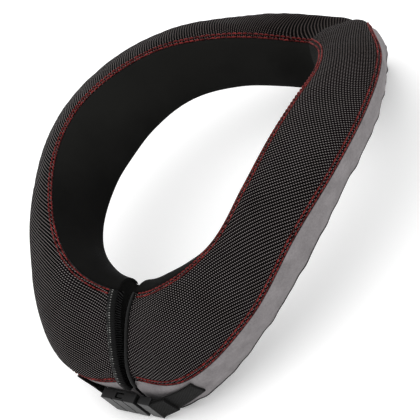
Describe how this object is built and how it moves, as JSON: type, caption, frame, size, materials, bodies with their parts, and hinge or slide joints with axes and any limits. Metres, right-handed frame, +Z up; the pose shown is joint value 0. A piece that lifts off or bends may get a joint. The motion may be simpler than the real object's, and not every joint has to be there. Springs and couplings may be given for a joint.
{
  "type": "protective neck collar",
  "caption": "Padded foam neck collar that arches over the shoulders, split at the front and closed there by a webbing strap with a side-release buckle.",
  "frame": {"origin": "middle of the footprint on the floor that the collar stands on", "axes": "+Z up along the neck, -Y to the front where the split and the buckle are, +X to the right of someone facing the front"},
  "size_m": [0.2232, 0.2692, 0.1],
  "materials": {
    "foam": "soft closed-cell foam",
    "top_cloth": "coarse black woven nylon",
    "neck_cloth": "smooth black knit",
    "side_cloth": "grey brushed suede",
    "base_cloth": "plain black knit",
    "binding_tape": "ribbed tape with a slight shine",
    "webbing": "flat woven webbing",
    "buckle_plastic": "satin moulded"
  },
  "bodies": {
    "root": {"foam_core": "foam", "top_panel": "top_cloth", "neck_panel": "neck_cloth", "side_panel": "side_cloth", "base_panel": "base_cloth", "end_panel_right": "neck_cloth", "end_panel_left": "neck_cloth", "edge_binding_left": "binding_tape", "edge_piping_right": "binding_tape", "strap_right": "webbing", "strap_left": "webbing", "buckle_socket": "buckle_plastic", "buckle_prongs": "buckle_plastic"}
  },
  "joints": []
}
